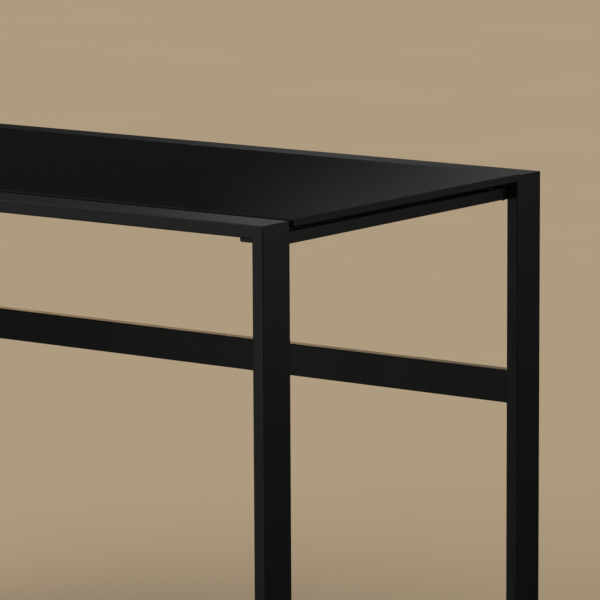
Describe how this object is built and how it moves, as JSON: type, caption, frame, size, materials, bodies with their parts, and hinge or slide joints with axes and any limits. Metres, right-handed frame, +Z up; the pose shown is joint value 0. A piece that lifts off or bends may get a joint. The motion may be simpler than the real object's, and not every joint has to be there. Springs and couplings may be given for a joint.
{
  "type": "computer desk with keyboard tray",
  "caption": "Black flat-tube steel desk with inset black glass top, rear stretcher and a glass keyboard tray on telescopic slides.",
  "frame": {"origin": "on the floor, under the middle of the desk", "axes": "+Z up, -Y towards the user, +X to the user's right"},
  "size_m": [1.219, 0.6, 0.762],
  "materials": {
    "powder_coat": "satin",
    "black_glass": "gloss",
    "zinc": "satin",
    "black_steel": "satin",
    "rubber": "matte",
    "plastic": "matte"
  },
  "bodies": {
    "desk": {"centre_bearer": "powder_coat", "centre_bearer_bolt_front": "black_steel", "centre_bearer_bolt_rear": "black_steel", "centre_bearer_bracket_front": "powder_coat", "centre_bearer_bracket_rear": "powder_coat", "centre_bearer_pad_front": "rubber", "centre_bearer_pad_rear": "rubber", "front_leg_left": "powder_coat", "front_leg_right": "powder_coat", "front_rail": "powder_coat", "glass_top": "black_glass", "glide_front_left": "plastic", "glide_front_right": "plastic", "glide_rear_left": "plastic", "glide_rear_right": "plastic", "hanger_left": "powder_coat", "hanger_right": "powder_coat", "hanger_screw_left_front": "black_steel", "hanger_screw_left_rear": "black_steel", "hanger_screw_right_front": "black_steel", "hanger_screw_right_rear": "black_steel", "rear_leg_left": "powder_coat", "rear_leg_right": "powder_coat", "rear_rail": "powder_coat", "rear_stretcher": "powder_coat", "side_bearer_left": "powder_coat", "side_bearer_left_bolt_front": "black_steel", "side_bearer_left_bolt_rear": "black_steel", "side_bearer_left_bracket_front": "powder_coat", "side_bearer_left_bracket_rear": "powder_coat", "side_bearer_left_pad_front": "rubber", "side_bearer_left_pad_rear": "rubber", "side_bearer_right": "powder_coat", "side_bearer_right_bolt_front": "black_steel", "side_bearer_right_bolt_rear": "black_steel", "side_bearer_right_bracket_front": "powder_coat", "side_bearer_right_bracket_rear": "powder_coat", "side_bearer_right_pad_front": "rubber", "side_bearer_right_pad_rear": "rubber", "slide_outer_left": "zinc", "slide_outer_right": "zinc", "slide_rivet_left_front": "black_steel", "slide_rivet_left_rear": "black_steel", "slide_rivet_right_front": "black_steel", "slide_rivet_right_rear": "black_steel"},
    "keyboard_tray": {"tray_bar_front": "powder_coat", "tray_bar_rear": "powder_coat", "tray_bar_left": "powder_coat", "tray_bar_right": "powder_coat", "tray_shelf": "black_glass", "tray_pad_left_front": "rubber", "tray_pad_left_rear": "rubber", "tray_pad_right_front": "rubber", "tray_pad_right_rear": "rubber", "slide_inner_left": "zinc", "slide_inner_right": "zinc"},
    "slide_middle_left": {"slide_middle_left": "zinc"},
    "slide_middle_right": {"slide_middle_right": "zinc"}
  },
  "joints": [
    {"name": "tray_slide", "type": "slide", "parent": "desk", "child": "keyboard_tray", "axis": [0, -1, 0], "range_m": [0, 0.24]},
    {"name": "slide_middle_left_travel", "type": "slide", "parent": "desk", "child": "slide_middle_left", "axis": [0, -1, 0], "range_m": [0, 0.12]},
    {"name": "slide_middle_right_travel", "type": "slide", "parent": "desk", "child": "slide_middle_right", "axis": [0, -1, 0], "range_m": [0, 0.12]}
  ],
  "couplings": [
    {"joint": "slide_middle_left_travel", "follows": "tray_slide", "ratio": 0.5},
    {"joint": "slide_middle_right_travel", "follows": "tray_slide", "ratio": 0.5}
  ]
}
